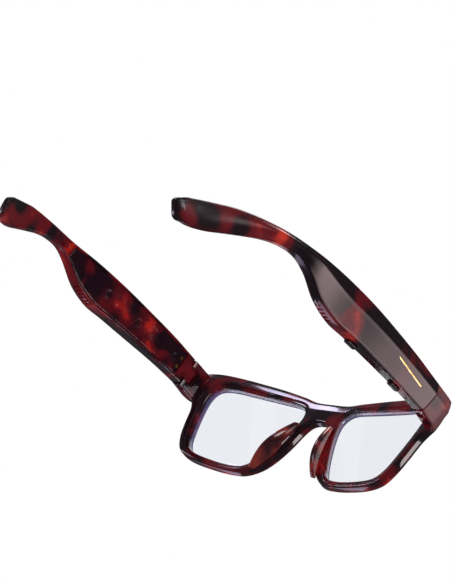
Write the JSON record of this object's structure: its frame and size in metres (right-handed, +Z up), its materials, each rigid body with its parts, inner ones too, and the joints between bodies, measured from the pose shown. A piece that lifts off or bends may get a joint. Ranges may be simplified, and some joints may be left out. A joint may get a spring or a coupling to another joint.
{
  "type": "audio smart glasses",
  "caption": "Wayfarer-shaped glasses with clear lenses and thick folding temples that hold speakers, battery and electronics behind glossy inner covers.",
  "frame": {"origin": "middle of the bounding box, on the surface the rims stand on", "axes": "+X to the wearer's left, +Y from the lenses back to the ears, +Z up"},
  "size_m": [0.1478, 0.156, 0.046],
  "materials": {
    "tortoise": "glossy polished tortoiseshell",
    "lens": "clear polished, anti-glare coated",
    "pad": "glossy translucent",
    "temple": "satin over tortoiseshell",
    "cover": "glossy translucent",
    "steel": "fine turned",
    "gold": "bright plated",
    "cell": "foil",
    "board": "solder-mask",
    "black": "fine moulded",
    "film": "polyimide film"
  },
  "bodies": {
    "front": {"front_frame": "tortoise", "lens_left": "lens", "nose_pad_left": "pad", "hinge_screw_left": "steel", "lens_right": "lens", "nose_pad_right": "pad", "hinge_screw_right": "steel"},
    "temple_left": {"temple_shell_left": "temple", "temple_cover_left": "cover", "hinge_bush_left": "steel", "battery_left": "cell", "circuit_board_left": "board", "ribbon_cable_left": "film", "speaker_frame_left": "black", "speaker_magnet_left": "steel", "speaker_mesh_left": "black", "microphone_left": "cell", "charge_pin_lower_left": "gold", "charge_pin_upper_left": "gold"},
    "temple_right": {"temple_shell_right": "temple", "temple_cover_right": "cover", "hinge_bush_right": "steel", "battery_right": "cell", "circuit_board_right": "board", "ribbon_cable_right": "film", "speaker_frame_right": "black", "speaker_magnet_right": "steel", "speaker_mesh_right": "black", "microphone_right": "cell", "charge_pin_lower_right": "gold", "charge_pin_upper_right": "gold", "function_switch": "cell", "volume_switch": "cell"},
    "function_button": {"function_button": "black"},
    "volume_button": {"volume_button": "black"}
  },
  "joints": [
    {"name": "temple_left_fold", "type": "hinge", "parent": "front", "child": "temple_left", "pos_m": [0.068, -0.05476, 0.03413], "axis": [0, 0, 1], "range_deg": [0, 86]},
    {"name": "temple_right_fold", "type": "hinge", "parent": "front", "child": "temple_right", "pos_m": [-0.068, -0.05476, 0.03413], "axis": [0, 0, -1], "range_deg": [0, 74]},
    {"name": "function_button_press", "type": "slide", "parent": "temple_right", "child": "function_button", "axis": [0, 0.1882, 0.9821], "range_m": [0, 0.0004], "stiffness_N_per_m": 3000, "springref_m": -0.0003},
    {"name": "volume_button_press", "type": "slide", "parent": "temple_right", "child": "volume_button", "axis": [0, 0.1598, 0.9871], "range_m": [0, 0.0004], "stiffness_N_per_m": 3000, "springref_m": -0.0003}
  ]
}
